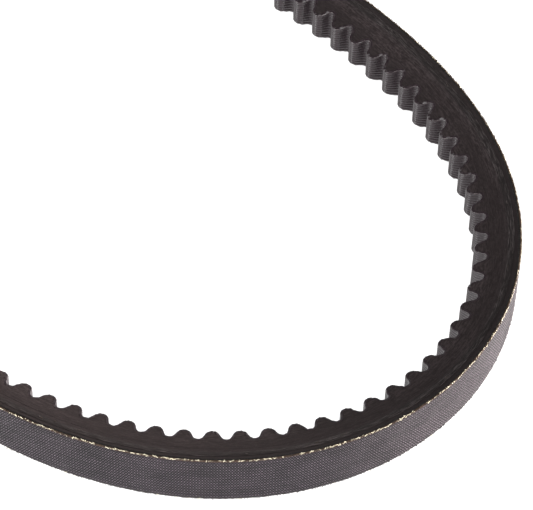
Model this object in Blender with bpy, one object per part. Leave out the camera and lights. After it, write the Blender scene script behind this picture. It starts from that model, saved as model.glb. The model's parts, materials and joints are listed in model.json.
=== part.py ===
"""Cogged raw-edge V belt, lying on one edge as a relaxed oval loop.

Frame: metres, +Z up. The loop's axis is +Z and its long axis is X. The origin is at the middle of
the loop, on the plane that the belt's lower edge rests on.

The belt is six bonded endless layers. Each layer is divided into nine lengths, which turn about
upright flex axes on the cord line, at the middles of notches, so that the loop can be squeezed or
opened. Every solid starts straight, in belt coordinates (along, depth, across), is trimmed at its
two ends, and is then bent round the loop.
"""
import math

import bmesh
import bpy
import numpy as np
from mathutils import Vector

MM = 0.001

# Driving dimensions of the belt's section
OUTSIDE_LENGTH = 650 * MM
TOP_WIDTH = 9.5 * MM
HEIGHT = 7.6 * MM
HALF_FLANK_ANGLE = math.radians(18)
CORD_DEPTH = 1.75 * MM

# Layers, as depths below the belt's back
PLY_GAP = 0.15 * MM
FABRIC_BOTTOM = 0.60 * MM
CUSHION_BOTTOM = 1.15 * MM
CORD_THICKNESS = 0.90 * MM
CORD_GROOVE_THICKNESS = 0.45 * MM
CORD_TURNS = 7
ADHESION_BOTTOM = 2.90 * MM
COG_FABRIC_THICKNESS = 0.50 * MM

# Cogs
COG_COUNT = 136
NOTCH_ROOT_DEPTH = 5.50 * MM
NOTCH_FLOOR_HALF = 0.50 * MM
COG_TIP_HALF = 0.85 * MM

# Relaxed shape: the bend swings about its mean by this share of it, twice round the loop
OVALITY = 1.27

# Flexing, from the relaxed shape
OPENING_ANGLE = math.radians(20)
SQUEEZING_ANGLE = math.radians(10)
SPARE_ANGLE = math.radians(1.5)
END_GAP = 0.30 * MM

# Fineness
STATION_SAGITTA = 0.10 * MM
PATH_STEPS = 8192
CUT_TOLERANCE = 1e-6

CORD_LENGTH = OUTSIDE_LENGTH - 2 * math.pi * CORD_DEPTH
COG_PITCH = CORD_LENGTH / COG_COUNT
EIGHTH = CORD_LENGTH / 8

# The nine lengths, in order round the loop: where each starts and ends, in eighths of the loop
# from the +X end, and the length that carries it. Between lengths 6 and 7 the loop is divided.
LENGTHS = {
    1: (-0.5, 0.5, None),
    2: (0.5, 1.5, 1),
    3: (1.5, 2.5, 2),
    4: (2.5, 3.5, 3),
    5: (3.5, 4.5, 4),
    6: (4.5, 5.0, 5),
    7: (-3.0, -2.5, 8),
    8: (-2.5, -1.5, 9),
    9: (-1.5, -0.5, 1),
}


class CordLine:
    """The path of the tensile cord: an oval of fixed length, symmetric about X and about Y."""

    def __init__(self):
        self.along = np.linspace(-CORD_LENGTH / 2, CORD_LENGTH / 2, PATH_STEPS + 1)
        step = CORD_LENGTH / PATH_STEPS
        self.x = self.travelled(np.cos(self.heading(self.along)), step)
        self.y = self.travelled(np.sin(self.heading(self.along)), step)

    @staticmethod
    def travelled(slope, step):
        """Running sum of a slope, centred on the loop's middle."""
        place = np.concatenate([[0], np.cumsum((slope[1:] + slope[:-1]) / 2 * step)])
        return place - place[:-1].mean()

    @staticmethod
    def heading(along):
        turn = 2 * math.pi * along / CORD_LENGTH
        return math.pi / 2 + turn + OVALITY / 2 * np.sin(2 * turn)

    @staticmethod
    def bend(along):
        turn = 2 * math.pi * along / CORD_LENGTH
        return 2 * math.pi / CORD_LENGTH * (1 + OVALITY * np.cos(2 * turn))

    def place(self, along, depth, across):
        """World place of a point in belt coordinates. Depth runs from the back inwards."""
        lap = (along + CORD_LENGTH / 2) % CORD_LENGTH - CORD_LENGTH / 2
        inwards = depth - CORD_DEPTH
        x = np.interp(lap, self.along, self.x) - inwards * math.sin(self.heading(lap))
        y = np.interp(lap, self.along, self.y) + inwards * math.cos(self.heading(lap))
        return Vector((x, y, TOP_WIDTH / 2 + across))

    def stations(self, start, end):
        """Cuts across one length, closer together where the loop bends more."""
        fine = np.linspace(start, end, 201)
        closeness = np.sqrt(np.abs(self.bend(fine)) / (8 * STATION_SAGITTA))
        count = np.concatenate([[0], np.cumsum((closeness[1:] + closeness[:-1]) / 2)])
        count *= fine[1] - fine[0]
        cells = math.ceil(count[-1])
        return [float(np.interp(count[-1] * cell / cells, count, fine))
                for cell in range(1, cells)]


def half_width(depth):
    """Half of the belt's width at a depth: the fabric is cut square, the rest is a wedge."""
    return TOP_WIDTH / 2 - max(0.0, depth - FABRIC_BOTTOM) * math.tan(HALF_FLANK_ANGLE)


def swept(outline, travel):
    """A closed bar: a flat outline, extruded straight."""
    bar = bmesh.new()
    face = bar.faces.new([bar.verts.new(corner) for corner in outline])
    grown = bmesh.ops.extrude_face_region(bar, geom=[face])
    far_end = [item for item in grown["geom"] if isinstance(item, bmesh.types.BMVert)]
    bmesh.ops.translate(bar, verts=far_end, vec=travel)
    return bar


def plain_ply(top, bottom):
    """Maker of a plain layer, between two depths, with the belt's slanting flanks."""
    section = [(top, -half_width(top)), (top, half_width(top)),
               (bottom, half_width(bottom)), (bottom, -half_width(bottom))]

    def make(start, end):
        return swept([(start, *corner) for corner in section], (end - start, 0, 0))
    return make


def cord_ply(start, end):
    """The turns of the cord, side by side and joined where they touch."""
    edge = half_width(CORD_DEPTH + CORD_THICKNESS / 2)
    across = np.linspace(-edge, edge, 2 * CORD_TURNS + 1)
    halves = [CORD_THICKNESS / 2 if place % 2 else CORD_GROOVE_THICKNESS / 2
              for place in range(len(across))]
    upper = [(start, CORD_DEPTH - half, z) for half, z in zip(halves, across)]
    lower = [(start, CORD_DEPTH + half, z) for half, z in zip(halves, across)]
    return swept(upper + lower[::-1], (end - start, 0, 0))


def notched_line(start, end, inset):
    """The notched inner line over whole cogs, set in from the belt's surface."""
    first = math.floor(start / COG_PITCH + 0.5 + CUT_TOLERANCE)
    last = math.ceil(end / COG_PITCH + 0.5 - CUT_TOLERANCE)
    tip_start = COG_PITCH / 2 - COG_TIP_HALF
    wall_angle = math.atan2(HEIGHT - NOTCH_ROOT_DEPTH, tip_start - NOTCH_FLOOR_HALF)
    shift = inset * math.tan(wall_angle / 2)
    corners = [(NOTCH_FLOOR_HALF + shift, NOTCH_ROOT_DEPTH), (tip_start + shift, HEIGHT),
               (COG_PITCH - tip_start - shift, HEIGHT),
               (COG_PITCH - NOTCH_FLOOR_HALF - shift, NOTCH_ROOT_DEPTH)]
    line = [((cog - 0.5) * COG_PITCH + along, depth - inset)
            for cog in range(first, last) for along, depth in corners]
    root = NOTCH_ROOT_DEPTH - inset
    return [((first - 0.5) * COG_PITCH, root)] + line + [((last - 0.5) * COG_PITCH, root)]


def notched_bar(outer, inner):
    """A bar between two lines along the belt, as wide as the belt is at each depth."""
    bar = swept([(along, depth, -1) for along, depth in outer + inner[::-1]], (0, 0, 2))
    for vertex in bar.verts:
        vertex.co.z *= half_width(vertex.co.y)
    return bar


def cog_rubber(start, end):
    """The rubber under the cords, with its cogs, without their fabric."""
    inner = notched_line(start, end, COG_FABRIC_THICKNESS + PLY_GAP)
    top = ADHESION_BOTTOM + PLY_GAP
    return notched_bar([(inner[0][0], top), (inner[-1][0], top)], inner)


def cog_fabric(start, end):
    """The fabric moulded over the cogs and notches."""
    return notched_bar(notched_line(start, end, COG_FABRIC_THICKNESS),
                       notched_line(start, end, 0.0))


def lean_of_end(eighths, side_of_cord):
    """How far an end leans back, so that the notch or the back can close at full flex."""
    sense = math.cos(math.pi / 2 * eighths)
    if abs(sense) < CUT_TOLERANCE or side_of_cord == 0:
        return 0.0
    closes_when_squeezed = (sense > 0) == (side_of_cord > 0)
    closing = SQUEEZING_ANGLE if closes_when_squeezed else OPENING_ANGLE
    return closing / 2 + SPARE_ANGLE


def everything(bar):
    return bar.verts[:] + bar.edges[:] + bar.faces[:]


def trim_end(bar, eighths, towards_end, side_of_cord):
    """Cuts an end back from the flex axis, along a plane through the cord line."""
    lean = lean_of_end(eighths, side_of_cord)
    plane = (eighths * EIGHTH - towards_end * END_GAP / 2, CORD_DEPTH, 0)
    normal = (towards_end * math.cos(lean), side_of_cord * math.sin(lean), 0)
    cut = bmesh.ops.bisect_plane(bar, geom=everything(bar), dist=CUT_TOLERANCE * MM,
                                 plane_co=plane, plane_no=normal, clear_outer=True)
    rim = [item for item in cut["geom_cut"] if isinstance(item, bmesh.types.BMEdge)]
    bmesh.ops.holes_fill(bar, edges=rim)


def bent_length(make, side_of_cord, cord_line, first, last):
    """One length of one layer, in its place on the loop."""
    start, end = first * EIGHTH, last * EIGHTH
    bar = make(start, end)
    trim_end(bar, first, -1, side_of_cord)
    trim_end(bar, last, 1, side_of_cord)
    for along in cord_line.stations(start, end):
        bmesh.ops.bisect_plane(bar, geom=everything(bar), dist=CUT_TOLERANCE * MM,
                               plane_co=(along, 0, 0), plane_no=(1, 0, 0))
    bmesh.ops.recalc_face_normals(bar, faces=bar.faces)
    for vertex in bar.verts:
        vertex.co = cord_line.place(*vertex.co)
    return bar


def material(name, colour, roughness):
    made = bpy.data.materials.new(name)
    made.use_nodes = True
    surface = made.node_tree.nodes["Principled BSDF"]
    surface.inputs["Base Color"].default_value = (*colour, 1)
    surface.inputs["Roughness"].default_value = roughness
    surface.inputs["Metallic"].default_value = 0
    return made


# Each layer: its maker, which side of the cord it is on (-1 towards the back, 1 towards the
# cogs), its colour and its roughness
LAYERS = {
    "back_fabric": (plain_ply(0.0, FABRIC_BOTTOM), -1, (0.13, 0.11, 0.12), 0.85),
    "cushion_gum": (plain_ply(FABRIC_BOTTOM + PLY_GAP, CUSHION_BOTTOM), -1,
                    (0.035, 0.030, 0.030), 0.6),
    "tensile_cord": (cord_ply, 0, (0.72, 0.66, 0.52), 0.7),
    "adhesion_gum": (plain_ply(CORD_DEPTH + CORD_THICKNESS / 2 + PLY_GAP, ADHESION_BOTTOM), 1,
                     (0.035, 0.030, 0.030), 0.6),
    "cog_rubber": (cog_rubber, 1, (0.045, 0.038, 0.036), 0.7),
    "cog_fabric": (cog_fabric, 1, (0.07, 0.06, 0.06), 0.8),
}


def clear_scene():
    for existing in list(bpy.data.objects):
        bpy.data.objects.remove(existing, do_unlink=True)


def hinge_of(number):
    """Where a length turns, in eighths of the loop: at its end nearer to its carrier."""
    first, last, carrier = LENGTHS[number]
    if carrier is None:
        return None
    return first if LENGTHS[carrier][1] == first else last


def flex_axes(cord_line, collection):
    """An empty on each length's flex axis, parented in a chain, and the places of the empties."""
    places = {}
    empties = {}
    for number in (1, 2, 3, 4, 5, 6, 9, 8, 7):
        carrier = LENGTHS[number][2]
        hinge = hinge_of(number)
        base = places.get(carrier, Vector((0, 0, 0)))
        places[number] = base if hinge is None else cord_line.place(hinge * EIGHTH, CORD_DEPTH, 0)
        empty = bpy.data.objects.new(f"flex_axis_{number}", None)
        collection.objects.link(empty)
        empty.parent = empties.get(carrier)
        empty.location = places[number] - base
        empties[number] = empty
    return places, empties


def build():
    clear_scene()
    collection = bpy.data.collections.new("cogged_v_belt")
    bpy.context.scene.collection.children.link(collection)
    cord_line = CordLine()
    places, empties = flex_axes(cord_line, collection)
    for layer, (make, side_of_cord, colour, roughness) in LAYERS.items():
        finish = material(layer, colour, roughness)
        for number, (first, last, _) in LENGTHS.items():
            bar = bent_length(make, side_of_cord, cord_line, first, last)
            bmesh.ops.translate(bar, verts=bar.verts, vec=-places[number])
            name = f"{layer}_{number}"
            mesh = bpy.data.meshes.new(name)
            bar.to_mesh(mesh)
            bar.free()
            mesh.materials.append(finish)
            piece = bpy.data.objects.new(name, mesh)
            collection.objects.link(piece)
            piece.parent = empties[number]


build()
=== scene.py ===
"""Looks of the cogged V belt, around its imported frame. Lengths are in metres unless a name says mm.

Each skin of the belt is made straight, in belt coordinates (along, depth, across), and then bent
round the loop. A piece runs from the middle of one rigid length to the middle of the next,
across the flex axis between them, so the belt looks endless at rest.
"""
import json
import math
import random

import bmesh
import bpy
import numpy as np
from mathutils import Matrix, Vector


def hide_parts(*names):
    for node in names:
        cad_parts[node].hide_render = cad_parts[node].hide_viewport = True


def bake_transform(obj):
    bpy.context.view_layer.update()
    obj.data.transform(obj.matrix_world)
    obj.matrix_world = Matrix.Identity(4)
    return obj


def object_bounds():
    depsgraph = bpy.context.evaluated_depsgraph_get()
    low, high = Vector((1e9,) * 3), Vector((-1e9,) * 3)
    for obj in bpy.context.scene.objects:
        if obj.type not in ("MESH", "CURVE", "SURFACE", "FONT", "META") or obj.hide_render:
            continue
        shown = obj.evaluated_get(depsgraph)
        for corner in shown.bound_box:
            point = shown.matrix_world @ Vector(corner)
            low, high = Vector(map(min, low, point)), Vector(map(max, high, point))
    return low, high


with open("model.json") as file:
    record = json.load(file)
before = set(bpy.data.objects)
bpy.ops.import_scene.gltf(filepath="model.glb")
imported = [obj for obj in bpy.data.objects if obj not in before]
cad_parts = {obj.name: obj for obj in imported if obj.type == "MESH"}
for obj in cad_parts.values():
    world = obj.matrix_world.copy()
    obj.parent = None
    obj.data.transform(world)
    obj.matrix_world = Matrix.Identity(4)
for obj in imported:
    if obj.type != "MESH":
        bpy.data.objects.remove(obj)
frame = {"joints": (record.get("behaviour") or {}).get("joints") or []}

cad_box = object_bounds()

MM = 0.001

# ---------------------------------------------------------------- the belt's section and loop
OUTSIDE_LENGTH = 650 * MM
TOP_WIDTH = cad_box[1].z - cad_box[0].z
HEIGHT = 7.6 * MM
HALF_FLANK_ANGLE = math.radians(18)
CORD_DEPTH = 1.75 * MM
FABRIC_BOTTOM = 0.60 * MM
CUSHION_BOTTOM = 1.25 * MM
CORD_BOTTOM = 2.25 * MM
ADHESION_BOTTOM = 2.95 * MM
COG_FABRIC_THICKNESS = 0.45 * MM
OVALITY = 1.27
COG_COUNT = 136
NOTCH_ROOT_DEPTH = 5.50 * MM
NOTCH_RADIUS = 0.80 * MM
WALL_ANGLE = math.radians(65)

CORD_LENGTH = OUTSIDE_LENGTH - 2 * math.pi * CORD_DEPTH
COG_PITCH = CORD_LENGTH / COG_COUNT
EIGHTH = CORD_LENGTH / 8
COGS_A_PIECE = COG_COUNT // 8
MID_HEIGHT = cad_box[0].z + TOP_WIDTH / 2
PATH_STEPS = 8192

# ---------------------------------------------------------------- the fineness of the skins
PLAIN_CELLS_A_COG = 6
COG_CELLS_A_COG = 24
RIBS = 10
CELLS_A_RIB = 4
RIB_HEIGHT = 0.11 * MM
SEAM_GAP = 0.004 * MM
SMOOTH_SKIN = math.radians(35)
SMOOTH_YARN = math.radians(70)

# ---------------------------------------------------------------- the unevenness of a cut belt
EDGE_SHARE = 0.99
NIBBLE_SIZE = 0.9 * MM
NIBBLE_DEPTH = 0.04 * MM
NIBBLE_INSET = 0.03 * MM
WAVE_SIZE = 5 * MM
WAVE_HEIGHT = 0.02 * MM
EDGE_ROUNDING = 0.12 * MM
ROUNDING_POWER = 60
SWELL_SIZE = 4 * MM
RAGGED_SIZE = 0.6 * MM
RAGGED_DEPTH = 0.10 * MM
CUT_SPREAD = 1.3

# ---------------------------------------------------------------- yarns of the back fabric
YARNS_ROUND = 1472
YARN_ALONG = CORD_LENGTH / YARNS_ROUND
BIAS_ANGLE = math.radians(56.6)
YARN_ACROSS = YARN_ALONG * math.tan(BIAS_ANGLE)

# Whiteness of the cut yarns on the upper edge (1) and the lower edge (-1): usual value and swing.
# The lower edge's low value is painted shade. Whiteness is highest near the +X end and falls
# towards the -X end, as painted light and shade.
YARN_WHITENESS = {1: (0.62, 0.34), -1: (0.0, 0.10)}
WHITENESS_PATCH = 6 * MM
WHITENESS_SPREAD = 0.45
PAINTED_LIGHT_FADE = 0.9
MOST_LIT_TURN = 0.25
LOOSE_SHARE = 0.3
LOOSE_THICKNESS = 0.03 * MM
FILAMENTS_A_PIECE = 12


class Loop:
    """The cord line: an oval of fixed length, symmetric about X and about Y."""

    def __init__(self):
        self.along = np.linspace(-CORD_LENGTH / 2, CORD_LENGTH / 2, PATH_STEPS + 1)
        heading = self.heading(self.along)
        self.x = self.travelled(np.cos(heading))
        self.y = self.travelled(np.sin(heading))

    @staticmethod
    def travelled(slope):
        step = CORD_LENGTH / PATH_STEPS
        place = np.concatenate([[0], np.cumsum((slope[1:] + slope[:-1]) / 2 * step)])
        return place - place[:-1].mean()

    @staticmethod
    def heading(along):
        turn = 2 * math.pi * along / CORD_LENGTH
        return math.pi / 2 + turn + OVALITY / 2 * np.sin(2 * turn)

    def bend(self, belt):
        """World places of rows of belt coordinates. Depth runs from the back inwards."""
        along, depth, across = belt.T
        lap = (along + CORD_LENGTH / 2) % CORD_LENGTH - CORD_LENGTH / 2
        heading = self.heading(lap)
        inwards = depth - CORD_DEPTH
        x = np.interp(lap, self.along, self.x) - inwards * np.sin(heading)
        y = np.interp(lap, self.along, self.y) + inwards * np.cos(heading)
        return np.stack([x, y, MID_HEIGHT + across], axis=1)

    def nearest(self, point):
        """How far along the loop a world point is."""
        gap = (self.x - point[0]) ** 2 + (self.y - point[1]) ** 2
        return float(self.along[int(np.argmin(gap))])


loop = Loop()


def half_width(depth):
    """Half of the belt's width at a depth: the fabric is cut square, the rest is a wedge."""
    return TOP_WIDTH / 2 - np.maximum(0, depth - FABRIC_BOTTOM) * math.tan(HALF_FLANK_ANGLE)


def smooth_noise(along, across, size, seed):
    """Seeded waves of about one size, between -1 and 1, which close round the loop."""
    rng = random.Random(seed)
    total = np.zeros_like(along)
    for _ in range(6):
        laps = round(CORD_LENGTH / size * rng.uniform(0.5, 1.5))
        slant = rng.uniform(-1, 1) * 2 * math.pi / size
        total += np.sin(2 * math.pi * laps * along / CORD_LENGTH + slant * across
                        + rng.uniform(0, 2 * math.pi))
    return total / 6 * 1.6


# ---------------------------------------------------------------- shader arithmetic
class Value:
    """One socket of a finish, with arithmetic."""

    def __init__(self, finish, socket):
        self.finish = finish
        self.socket = socket

    def math(self, operation, *others):
        return self.finish.node("ShaderNodeMath", {"operation": operation}, self, *others)

    def __add__(self, other):
        return self.math("ADD", other)

    def __sub__(self, other):
        return self.math("SUBTRACT", other)

    def __rsub__(self, other):
        return self.finish.node("ShaderNodeMath", {"operation": "SUBTRACT"}, other, self)

    def __mul__(self, other):
        return self.math("MULTIPLY", other)

    __radd__ = __add__
    __rmul__ = __mul__

    def size(self):
        return self.math("ABSOLUTE")


class Finish:
    """A material: one Principled surface, with nodes that are added by expressions."""

    def __init__(self, name):
        self.material = bpy.data.materials.new(name)
        self.material.use_nodes = True
        self.nodes = self.material.node_tree.nodes
        self.links = self.material.node_tree.links
        self.surface = self.nodes["Principled BSDF"]

    def node(self, kind, settings=None, *inputs, out=0, **named):
        """Adds a node with its settings and inputs, and returns one of its outputs."""
        made = self.nodes.new(kind)
        for setting, value in (settings or {}).items():
            setattr(made, setting, value)
        for key, value in [*enumerate(inputs), *named.items()]:
            self.feed(made.inputs[key], value)
        return Value(self, made.outputs[out])

    def feed(self, socket, value):
        if isinstance(value, Value):
            self.links.new(value.socket, socket)
        elif isinstance(value, tuple) and socket.type == "RGBA":
            socket.default_value = (*value, 1)
        else:
            socket.default_value = value

    def belt_coordinates(self):
        """Along, depth and across of the surface, in millimetres."""
        place = self.node("ShaderNodeAttribute", {"attribute_name": "belt_mm"}, out="Vector")
        split = self.node("ShaderNodeSeparateXYZ", None, place)
        outputs = split.socket.node.outputs
        return place, [Value(self, outputs[axis]) for axis in "XYZ"]

    def stretched(self, place, x, y, z):
        """The belt coordinates, scaled along each axis."""
        return self.node("ShaderNodeVectorMath", {"operation": "MULTIPLY"}, place, (x, y, z))

    def noise(self, place, scale, detail=3.0, roughness=0.55):
        """Noise about 0.5. Its scale is in lumps per millimetre."""
        return self.node("ShaderNodeTexNoise", None, place, out="Fac", Scale=scale,
                         Detail=detail, Roughness=roughness)

    def ramp(self, value, low, high, bottom=0.0, top=1.0):
        """A smooth step of a value, from bottom at low to top at high."""
        settings = {"interpolation_type": "SMOOTHSTEP"}
        return self.node("ShaderNodeMapRange", settings, value, low, high, bottom, top)

    def mix(self, share, first, second):
        """A colour between two colours."""
        settings = {"data_type": "RGBA", "blend_type": "MIX"}
        mixer = self.node("ShaderNodeMix", settings, out="Result").socket.node
        shown = [socket for socket in mixer.inputs if socket.enabled]
        for socket, value in zip(shown, (share, first, second)):
            self.feed(socket, value)
        return Value(self, next(socket for socket in mixer.outputs if socket.enabled))

    def bump(self, height, strength, distance_mm):
        return self.node("ShaderNodeBump", None, out="Normal", Height=height,
                         Strength=strength, Distance=distance_mm * MM)

    def done(self, colour, roughness, normal=None, **fixed):
        """Feeds the surface, and sets its other sockets to fixed values."""
        self.feed(self.surface.inputs["Base Color"], colour)
        self.feed(self.surface.inputs["Roughness"], roughness)
        if normal:
            self.feed(self.surface.inputs["Normal"], normal)
        for name, value in fixed.items():
            self.surface.inputs[name.replace("_", " ")].default_value = value
        return self.material


# ---------------------------------------------------------------- the finishes
def woven_back():
    """Rubberised canvas cut on the bias: two families of yarns, with painted highlights where they
    cross and painted shade in the spaces between them.
    """
    cloth = Finish("woven_back")
    place, (along, depth, across) = cloth.belt_coordinates()
    wander = (cloth.noise(place, 0.30) - 0.5) * 0.4
    lengthwise = along * (math.pi * MM / YARN_ALONG)
    crosswise = (across + wander) * (math.pi * MM / YARN_ACROSS)
    warp = (lengthwise + crosswise).math("SINE").size()
    weft = (lengthwise - crosswise).math("SINE").size()
    # Painted light: rows across the weave, lightened through the crowns as if lit from above; they
    # also add to the bump.
    rows = (crosswise * 2).math("COSINE")
    warp_proud = cloth.ramp(cloth.noise(place, 0.10, detail=1.0), 0.42, 0.58)
    lines = warp * warp_proud + weft * (1 - warp_proud)
    crowns = warp * weft * 0.52 + lines * 0.30 + (rows + 1) * 0.12
    grime = cloth.noise(cloth.stretched(place, 0.12, 0.5, 0.5), 1.0)
    speckle = cloth.noise(place, 6.0, detail=2.0)
    proud = cloth.ramp(crowns, 0.46, 1.0)
    # Painted shade: the spaces between the yarns are darkened in the colour.
    shaded_gaps = cloth.mix(cloth.ramp(grime, 0.35, 0.65),
                     (0.0034, 0.0022, 0.0030), (0.0056, 0.0036, 0.0050))
    # Painted highlight: the yarn crowns are lightened in the colour, more in some patches than
    # others.
    crown_highlight = cloth.mix(cloth.ramp(speckle, 0.35, 0.70),
                       (0.056, 0.040, 0.052), (0.170, 0.128, 0.160))
    highlight_patchiness = cloth.ramp(grime + speckle, 0.7, 1.25, 0.35, 1.0)
    half_mm = TOP_WIDTH / MM / 2
    rim = cloth.ramp(across.size(), half_mm - 0.30, half_mm - 0.02)
    cut_edge = cloth.mix(cloth.ramp(depth, 0.22, 0.38),
                         (0.060, 0.034, 0.020), (0.010, 0.009, 0.009))
    colour = cloth.mix(rim, cloth.mix(proud * highlight_patchiness, shaded_gaps, crown_highlight), cut_edge)
    height = crowns * (1 - rim) + speckle * 0.35
    return cloth.done(colour, 0.75 - proud * 0.38, cloth.bump(height, 1.0, 0.08),
                      Specular_IOR_Level=0.25, Sheen_Weight=0.12, Sheen_Roughness=0.30)


def cut_rubber(name, dark, light, fibre_share):
    """Cut flank of fibre-loaded rubber: dark, with fine drawn-out streaks and fibre ends."""
    rubber = Finish(name)
    place, _ = rubber.belt_coordinates()
    streaks = rubber.noise(rubber.stretched(place, 0.55, 6, 6), 1.0, detail=4.0)
    mottle = rubber.noise(rubber.stretched(place, 1.6, 3, 3), 1.0, detail=4.0, roughness=0.65)
    scuffs = rubber.ramp(rubber.noise(rubber.stretched(place, 0.02, 0.1, 0.1), 1.0), 0.45, 0.62)
    fibres = rubber.noise(rubber.stretched(place, 2.2, 12, 12), 1.0, detail=1.0)
    shade = rubber.ramp(streaks * 0.55 + mottle * 0.45, 0.40, 0.64)
    bare = rubber.mix(shade * (0.35 + scuffs * 0.65), dark, light)
    fibre_ends = rubber.ramp(fibres, 0.66, 0.76) * fibre_share
    colour = rubber.mix(fibre_ends, bare, (0.085, 0.074, 0.070))
    height = streaks + mottle * 0.8
    return rubber.done(colour, 0.60 + mottle * 0.2, rubber.bump(height, 0.6, 0.05),
                       Specular_IOR_Level=0.2)


def cut_cord():
    """The cord where the flank cuts it: brown-black rubber with pale filaments showing."""
    cord = Finish("cut_cord")
    place, _ = cord.belt_coordinates()
    filaments = cord.noise(cord.stretched(place, 0.55, 14, 14), 1.0)
    patches = cord.noise(cord.stretched(place, 0.10, 1, 1), 1.0, detail=2.0)
    pale = cord.ramp(filaments, 0.46, 0.66) * cord.ramp(patches, 0.40, 0.62, 0.25, 1.0)
    colour = cord.mix(pale, (0.013, 0.0100, 0.0100), (0.080, 0.068, 0.068))
    return cord.done(colour, 0.65, cord.bump(filaments, 0.5, 0.06), Specular_IOR_Level=0.2)


def ribbed_cog_fabric():
    """Rubber-coated fabric over the cogs, with the paler fibres of its cut edge."""
    cloth = Finish("ribbed_cog_fabric")
    place, (along, depth, across) = cloth.belt_coordinates()
    below_face = cloth.node("ShaderNodeAttribute", {"attribute_name": "below_face_mm"}, out="Fac")
    grain = cloth.noise(cloth.stretched(place, 3, 3, 6), 1.6, detail=4.0)
    sheen = cloth.noise(place, 0.8)
    wedge = math.tan(HALF_FLANK_ANGLE)
    flank_line = (TOP_WIDTH + 2 * FABRIC_BOTTOM * wedge) / MM / 2
    from_flank = flank_line - depth * wedge - across.size()
    frayed = cloth.noise(cloth.stretched(place, 3, 3, 2), 1.0, detail=2.0)
    thread = (1 - cloth.ramp(from_flank, 0.02, 0.10)) * (1 - cloth.ramp(below_face, 0.06, 0.14))
    coated = cloth.mix(cloth.ramp(grain, 0.3, 0.7),
                       (0.0115, 0.0072, 0.0088), (0.034, 0.0230, 0.0270))
    colour = cloth.mix(thread * cloth.ramp(frayed, 0.42, 0.60), coated, (0.13, 0.11, 0.11))
    return cloth.done(colour, 0.28 + sheen * 0.2, cloth.bump(grain, 0.35, 0.05),
                      Specular_IOR_Level=0.5)


def yarn_end(name, clean_colour):
    """Cut ends of yarn: their own colour where the attribute is high, brown and then near black where
    it is low; the attribute holds both soaking by rubber and painted light and shade.
    """
    yarn = Finish(name)
    clean = yarn.node("ShaderNodeAttribute", {"attribute_name": "clean"}, out="Fac")
    place, _ = yarn.belt_coordinates()
    fuzz = yarn.noise(place, 9.0, detail=2.0)
    # Painted shade: a low attribute, as on the lower edge, takes the ends towards near-black brown.
    soaked_and_shaded = yarn.mix(yarn.ramp(clean + fuzz * 0.5, -0.1, 0.7),
                      (0.010, 0.008, 0.007), (0.046, 0.032, 0.023))
    colour = yarn.mix(yarn.ramp(clean + fuzz * 0.3, 0.60, 0.90), soaked_and_shaded, clean_colour)
    return yarn.done(colour, 0.85, yarn.bump(fuzz, 0.4, 0.05), Specular_IOR_Level=0.3)


# ---------------------------------------------------------------- making and bending a piece
def grid_block(along_cells, other_cells):
    """A closed block: a grid, extruded once. Its corners run from 0 to 1 on each axis, less
    half a seam gap at the two ends along the belt."""
    block = bmesh.new()
    bmesh.ops.create_grid(block, x_segments=along_cells, y_segments=other_cells, size=0.5)
    bmesh.ops.scale(block, verts=block.verts[:], vec=(1 - SEAM_GAP / EIGHTH, 1, 1))
    grown = bmesh.ops.extrude_face_region(block, geom=block.faces[:])
    far_side = [item for item in grown["geom"] if isinstance(item, bmesh.types.BMVert)]
    bmesh.ops.translate(block, verts=far_side, vec=(0, 0, 1))
    bmesh.ops.translate(block, verts=block.verts[:], vec=(0.5, 0.5, 0))
    return block


def bent_piece(name, straight, shape, finish, smooth_up_to):
    """A mesh object: a straight piece, given belt coordinates by a shape, then bent.

    The shape also gives each point's depth below the piece's own face.
    """
    mesh = bpy.data.meshes.new(name)
    straight.to_mesh(mesh)
    straight.free()
    unit = np.zeros(len(mesh.vertices) * 3)
    mesh.vertices.foreach_get("co", unit)
    *belt, below_face = shape(*unit.reshape(-1, 3).T)
    belt = np.stack(belt, axis=1)
    mesh.vertices.foreach_set("co", loop.bend(belt).ravel())
    mesh.attributes.new("belt_mm", "FLOAT_VECTOR", "POINT").data.foreach_set(
        "vector", (belt / MM).ravel())
    mesh.attributes.new("below_face_mm", "FLOAT", "POINT").data.foreach_set(
        "value", below_face / MM)
    turned_out = bmesh.new()
    turned_out.from_mesh(mesh)
    if turned_out.calc_volume(signed=True) < 0:
        bmesh.ops.reverse_faces(turned_out, faces=turned_out.faces)
    turned_out.to_mesh(mesh)
    turned_out.free()
    mesh.shade_smooth()
    mesh.set_sharp_from_angle(angle=smooth_up_to)
    mesh.materials.append(finish)
    piece = bpy.data.objects.new(name, mesh)
    bpy.context.scene.collection.objects.link(piece)
    return piece


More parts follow.
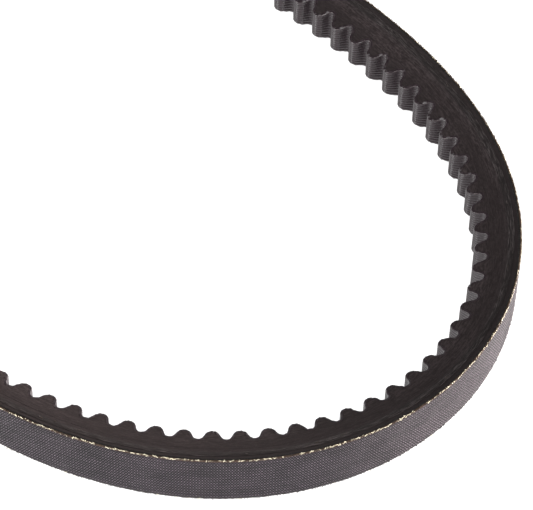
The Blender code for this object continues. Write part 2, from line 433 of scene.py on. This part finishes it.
class NotchedLine:
    """The notched surface: round notch, straight wall and round cog tip, in even steps of travel."""

    def __init__(self):
        rise, run = math.sin(WALL_ANGLE), math.cos(WALL_ANGLE)
        half_pitch, cog_height = COG_PITCH / 2, HEIGHT - NOTCH_ROOT_DEPTH
        both_radii = (half_pitch * rise - cog_height * run) / (rise * rise - run * (1 - run))
        self.tip_radius = both_radii - NOTCH_RADIUS
        self.wall = (cog_height - both_radii * (1 - run)) / rise
        self.notch_arc = NOTCH_RADIUS * WALL_ANGLE
        self.half_travel = self.notch_arc + self.wall + self.tip_radius * WALL_ANGLE

    def at(self, turn, below):
        """Along and depth at a number of turns from a notch's middle, a distance below the face."""
        share = turn - np.floor(turn)
        travel = np.where(share > 0.5, 1 - share, share) * 2 * self.half_travel
        in_notch = np.clip(travel, 0, self.notch_arc) / NOTCH_RADIUS
        on_wall = np.clip(travel - self.notch_arc, 0, self.wall)
        on_tip = np.clip(travel - self.notch_arc - self.wall, 0, None) / self.tip_radius
        slope = in_notch - on_tip
        tip_along = self.tip_radius * (math.sin(WALL_ANGLE) - np.sin(WALL_ANGLE - on_tip))
        tip_rise = self.tip_radius * (np.cos(WALL_ANGLE - on_tip) - math.cos(WALL_ANGLE))
        along = NOTCH_RADIUS * np.sin(in_notch) + on_wall * math.cos(WALL_ANGLE) + tip_along
        rise = NOTCH_RADIUS * (1 - np.cos(in_notch)) + on_wall * math.sin(WALL_ANGLE) + tip_rise
        along = along + below * np.sin(slope)
        depth = NOTCH_ROOT_DEPTH + rise - below * np.cos(slope)
        along = np.where(share > 0.5, COG_PITCH - along, along)
        return (np.floor(turn) - 0.5) * COG_PITCH + along, depth


notched_line = NotchedLine()


# ---------------------------------------------------------------- the layers
def back_fabric(start):
    """Canvas skin, with slight waves in its face and its edges nibbled between yarns."""
    def shape(u, v, w):
        along = start + u * EIGHTH
        side = np.sin(math.pi * (v - 0.5))
        nibble = smooth_noise(along, v, NIBBLE_SIZE, seed=3) * NIBBLE_DEPTH - NIBBLE_INSET
        across = side * (TOP_WIDTH / 2 + np.where(np.abs(side) > EDGE_SHARE, nibble, 0))
        waves = (smooth_noise(along, across, WAVE_SIZE, seed=4) + 1) * WAVE_HEIGHT
        rounding = EDGE_ROUNDING * np.abs(side) ** ROUNDING_POWER
        depth = np.where(w < 0.5, waves + rounding, FABRIC_BOTTOM)
        return along, depth, across, depth
    return grid_block(PLAIN_CELLS_A_COG * COGS_A_PIECE, 24), shape


def flank_layer(top, bottom, stand_out, belly, seed):
    """Maker of a plain layer, whose cut flanks stand a little proud or set back, with a belly."""
    def make(start):
        def shape(u, v, w):
            along = start + u * EIGHTH
            depth = top + (bottom - top) * v
            swell = (1 + smooth_noise(along, w, SWELL_SIZE, seed)) / 2
            reach = half_width(depth) + stand_out + np.sin(math.pi * v) * belly * swell
            return along, depth, np.where(w < 0.5, -reach, reach), depth
        return grid_block(PLAIN_CELLS_A_COG * COGS_A_PIECE, 4), shape
    return make


def cog_rubber(start):
    """Fibre-loaded rubber between the cords and the cog fabric."""
    def shape(u, v, w):
        turn = start / COG_PITCH + 0.5 + u * COGS_A_PIECE
        along, depth = notched_line.at(turn, COG_FABRIC_THICKNESS)
        unnotched = start + u * EIGHTH
        rise = v ** CUT_SPREAD
        along = along + (unnotched - along) * rise
        depth = depth + (ADHESION_BOTTOM - depth) * rise
        reach = half_width(depth)
        return along, depth, np.where(w < 0.5, -reach, reach), depth
    return grid_block(COG_CELLS_A_COG * COGS_A_PIECE, 5), shape


def cog_fabric(start):
    """Ribbed fabric moulded over cogs and notches, with an uneven cut edge."""
    def shape(u, v, w):
        turn = start / COG_PITCH + 0.5 + u * COGS_A_PIECE
        groove = (1 - np.abs(np.sin(math.pi * RIBS * v))) * RIB_HEIGHT
        below_face = np.where(w < 0.5, groove, COG_FABRIC_THICKNESS)
        along, depth = notched_line.at(turn, below_face)
        side = 2 * v - 1
        ragged = smooth_noise(along, side, RAGGED_SIZE, seed=8) * RAGGED_DEPTH
        reach = half_width(depth) + np.where(np.abs(side) > EDGE_SHARE, ragged, 0)
        return along, depth, side * reach, below_face
    return grid_block(COG_CELLS_A_COG * COGS_A_PIECE, RIBS * CELLS_A_RIB), shape


# ---------------------------------------------------------------- cut yarns and loose filaments
def add_stub(stubs, middle, direction, length, half_breadth, half_thickness, sides):
    """A short straight piece of yarn, flattened, a little thinner at its far end."""
    turn = direction.to_track_quat("Z", "Y").to_matrix().to_4x4()
    flatten = Matrix.Diagonal((half_thickness / half_breadth, 1, 1, 1))
    made = bmesh.ops.create_cone(stubs, cap_ends=True, segments=sides, radius1=half_breadth,
                                 radius2=half_breadth * 0.7, depth=length,
                                 matrix=Matrix.Translation(middle) @ turn @ flatten)
    return made["verts"]


def as_laid(along, depth, across):
    """Shape of a piece that is made in belt coordinates from the start."""
    return along, depth, across, depth


def yarn_ends(start):
    """Cut ends of the canvas yarns along both edges of the back, with some loose filaments."""
    stubs = bmesh.new()
    clean = stubs.verts.layers.float.new("clean")
    first = round(start / YARN_ALONG)
    rng = random.Random(first)
    numbers = range(first, first + round(EIGHTH / YARN_ALONG))
    places = (np.array(numbers) + 0.5) * YARN_ALONG
    # Painted light and shade: the yarn ends are whitest near the +X end and darker away from it; the
    # lower edge's low value in YARN_WHITENESS is painted shade.
    painted_light_fade = (np.cos(2 * math.pi * places / CORD_LENGTH + MOST_LIT_TURN) - 1) * PAINTED_LIGHT_FADE
    for side, (usual, swing) in YARN_WHITENESS.items():
        patches = smooth_noise(places, 0.0, WHITENESS_PATCH, seed=21 + side) * swing + usual + painted_light_fade
        for place, patch in zip(places, patches):
            for slant in (-1, 1):
                along = place + (slant * 0.25 + rng.uniform(-0.2, 0.2)) * YARN_ALONG
                angle = BIAS_ANGLE * rng.uniform(0.2, 1.4)
                direction = Vector((slant * math.cos(angle), rng.uniform(-0.3, 0.1),
                                    side * math.sin(angle)))
                overhang = rng.uniform(-0.05, 0.05) * MM if side > 0 else -0.08 * MM
                depth = rng.uniform(0.02, 0.20) * MM
                middle = Vector((along, depth, side * (TOP_WIDTH / 2 + overhang)))
                breadth = rng.uniform(0.04, 0.075) * MM
                whiteness = patch + rng.gauss(0, WHITENESS_SPREAD)
                made = add_stub(stubs, middle, direction, rng.uniform(0.20, 0.65) * MM,
                                breadth, breadth * 0.7, 6)
                if rng.random() < LOOSE_SHARE:
                    stray = Vector((slant, rng.uniform(-0.4, 0.1), rng.uniform(0, 0.4) * side))
                    made += add_stub(stubs, middle, stray, rng.uniform(0.4, 0.9) * MM,
                                     LOOSE_THICKNESS, LOOSE_THICKNESS, 3)
                for vert in made:
                    vert[clean] = whiteness
    return stubs, as_laid


def cord_filaments(start):
    """A few filaments pulled out of the cord where the flank cuts it."""
    strands = bmesh.new()
    clean = strands.verts.layers.float.new("clean")
    rng = random.Random(round(start / EIGHTH) + 100)
    for _ in range(FILAMENTS_A_PIECE):
        side = rng.choice((-1, 1))
        depth = rng.uniform(CUSHION_BOTTOM + 0.1 * MM, CORD_BOTTOM - 0.1 * MM)
        reach = float(half_width(depth)) + 0.03 * MM
        middle = Vector((start + rng.uniform(0.02, 0.98) * EIGHTH, depth, side * reach))
        direction = Vector((1, rng.uniform(-0.25, 0.25), rng.uniform(-0.05, 0.05)))
        length = rng.uniform(0.3, 1.2) * MM
        for vert in add_stub(strands, middle, direction, length, 0.035 * MM, 0.03 * MM, 5):
            vert[clean] = rng.uniform(0.2, 0.8)
    return strands, as_laid


finishes = {
    "woven_back": woven_back(),
    "cushion": cut_rubber("cushion", (0.015, 0.0110, 0.0112), (0.028, 0.0215, 0.0220), 0.1),
    "cut_cord": cut_cord(),
    "adhesion": cut_rubber("adhesion", (0.018, 0.0132, 0.0135), (0.052, 0.041, 0.042), 0.4),
    "flank": cut_rubber("flank", (0.0155, 0.0110, 0.0112), (0.050, 0.038, 0.039), 0.40),
    "ribbed_cog_fabric": ribbed_cog_fabric(),
    "yarn_end": yarn_end("yarn_end", (0.66, 0.61, 0.46)),
    "cord_end": yarn_end("cord_end", (0.15, 0.13, 0.13)),
}

cushion_gum = flank_layer(FABRIC_BOTTOM, CUSHION_BOTTOM, stand_out=-0.06 * MM, belly=0, seed=11)
tensile_cord = flank_layer(CUSHION_BOTTOM, CORD_BOTTOM, stand_out=-0.01 * MM, belly=0.07 * MM,
                           seed=12)
adhesion_gum = flank_layer(CORD_BOTTOM, ADHESION_BOTTOM, stand_out=-0.03 * MM, belly=0, seed=13)

# Name of each skin: its maker, its finish, how far it is smoothed, and its packed layer
SKINS = {
    "back_fabric_skin": (back_fabric, "woven_back", SMOOTH_SKIN, "back_fabric"),
    "yarn_ends": (yarn_ends, "yarn_end", SMOOTH_YARN, "back_fabric"),
    "cushion_gum_skin": (cushion_gum, "cushion", SMOOTH_SKIN, "cushion_gum"),
    "tensile_cord_skin": (tensile_cord, "cut_cord", SMOOTH_SKIN, "tensile_cord"),
    "cord_filaments": (cord_filaments, "cord_end", SMOOTH_YARN, "tensile_cord"),
    "adhesion_gum_skin": (adhesion_gum, "adhesion", SMOOTH_SKIN, "adhesion_gum"),
    "cog_rubber_skin": (cog_rubber, "flank", SMOOTH_SKIN, "cog_rubber"),
    "cog_fabric_skin": (cog_fabric, "ribbed_cog_fabric", SMOOTH_SKIN, "cog_fabric"),
}


def dress(joint):
    """Every skin across one flex axis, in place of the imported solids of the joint's child."""
    start = round(loop.nearest(joint["pos_m"]) / EIGHTH - 0.5) * EIGHTH
    number = joint["child"].rsplit("_", 1)[1]
    for name, (make, finish, smooth_up_to, layer) in SKINS.items():
        straight, shape = make(start)
        piece = bent_piece(f"{name}_{number}", straight, shape, finishes[finish], smooth_up_to)
        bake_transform(piece)
        if name.endswith("skin"):
            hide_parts(f"{layer}_{number}")
            if joint["name"] == "flex_1_2":
                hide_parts(f"{layer}_1")


for flex in frame["joints"]:
    dress(flex)


# ---------------------------------------------------------------- stage
CAMERA_AIM = Vector((92.74, 2.94, 4.75)) * MM
CAMERA_AZIMUTH = math.radians(43.83)
CAMERA_ELEVATION = math.radians(48.87)
CAMERA_ROLL = math.radians(1.65)
CAMERA_DISTANCE = 435.3 * MM
CAMERA_LENS_MM = 182.5
CAMERA_SENSOR_MM = 36
CAMERA_CLIP = 10 * MM
FLOOR_HALF_SIZE = 6
FLOOR_DROP = 0.12 * MM
FLOOR_SHADE = 0.50
FLOOR_GLOW = 0.92
ROOM_BRIGHTNESS = 0.06

# Name of each softbox: degrees to the right of the camera's side, degrees up, distance and size in
# metres, watts, and tint
SOFTBOXES = {
    "key": (-15, 58, 1.4, (0.9, 0.9), 17, (1, 1, 1)),
    "rear_card": (165, 14, 1.3, (2.0, 0.5), 1.2, (1, 1, 1)),
    "right_rear_card": (112, 4, 0.9, (0.3, 0.2), 40, (1.0, 0.90, 0.86)),
    "right_front_card": (40, 8, 0.9, (0.2, 0.3), 8, (1, 1, 1)),
    "left_card": (-62, 10, 0.9, (0.25, 0.3), 6, (1, 1, 1)),
}


def away_from_aim(azimuth, elevation):
    """Direction from the camera's aim, by its angle from the -Y side and its height angle."""
    flat = math.cos(elevation)
    return Vector((math.sin(azimuth) * flat, -math.cos(azimuth) * flat, math.sin(elevation)))


def add_camera():
    back = away_from_aim(CAMERA_AZIMUTH, CAMERA_ELEVATION)
    camera = bpy.data.objects.new("camera", bpy.data.cameras.new("camera"))
    bpy.context.scene.collection.objects.link(camera)
    camera.data.lens = CAMERA_LENS_MM
    camera.data.sensor_width = CAMERA_SENSOR_MM
    camera.data.clip_start = CAMERA_CLIP
    turn = (-back).to_track_quat("-Z", "Y").to_matrix().to_4x4()
    camera.matrix_world = (Matrix.Translation(CAMERA_AIM + back * CAMERA_DISTANCE) @ turn
                           @ Matrix.Rotation(CAMERA_ROLL, 4, "Z"))
    bpy.context.scene.camera = camera


def add_softbox(name, azimuth, elevation, distance, size, power, tint):
    away = away_from_aim(math.radians(azimuth) + CAMERA_AZIMUTH, math.radians(elevation))
    data = bpy.data.lights.new(name, "AREA")
    data.shape = "RECTANGLE"
    data.size, data.size_y = size
    data.energy = power
    data.color = tint
    light = bpy.data.objects.new(name, data)
    light.location = CAMERA_AIM + away * distance
    light.rotation_euler = away.to_track_quat("Z", "Y").to_euler()
    bpy.context.scene.collection.objects.link(light)


def add_floor():
    ground = bmesh.new()
    bmesh.ops.create_grid(ground, x_segments=1, y_segments=1, size=FLOOR_HALF_SIZE)
    mesh = bpy.data.meshes.new("floor")
    ground.to_mesh(mesh)
    ground.free()
    floor = bpy.data.objects.new("floor", mesh)
    floor.location.z = cad_box[0].z - FLOOR_DROP
    paper = Finish("pale_paper")
    mesh.materials.append(paper.done((FLOOR_SHADE, FLOOR_SHADE, FLOOR_SHADE), 0.9,
                                     Specular_IOR_Level=0.1, Emission_Color=(1, 1, 1, 1),
                                     Emission_Strength=FLOOR_GLOW))
    bpy.context.scene.collection.objects.link(floor)


def add_room():
    room = bpy.data.worlds.new("studio")
    room.use_nodes = True
    background = room.node_tree.nodes["Background"]
    background.inputs["Color"].default_value = (1, 1, 1, 1)
    background.inputs["Strength"].default_value = ROOM_BRIGHTNESS
    bpy.context.scene.world = room
    bpy.context.scene.view_settings.view_transform = "Standard"


add_camera()
add_floor()
add_room()
for softbox, settings in SOFTBOXES.items():
    add_softbox(softbox, *settings)
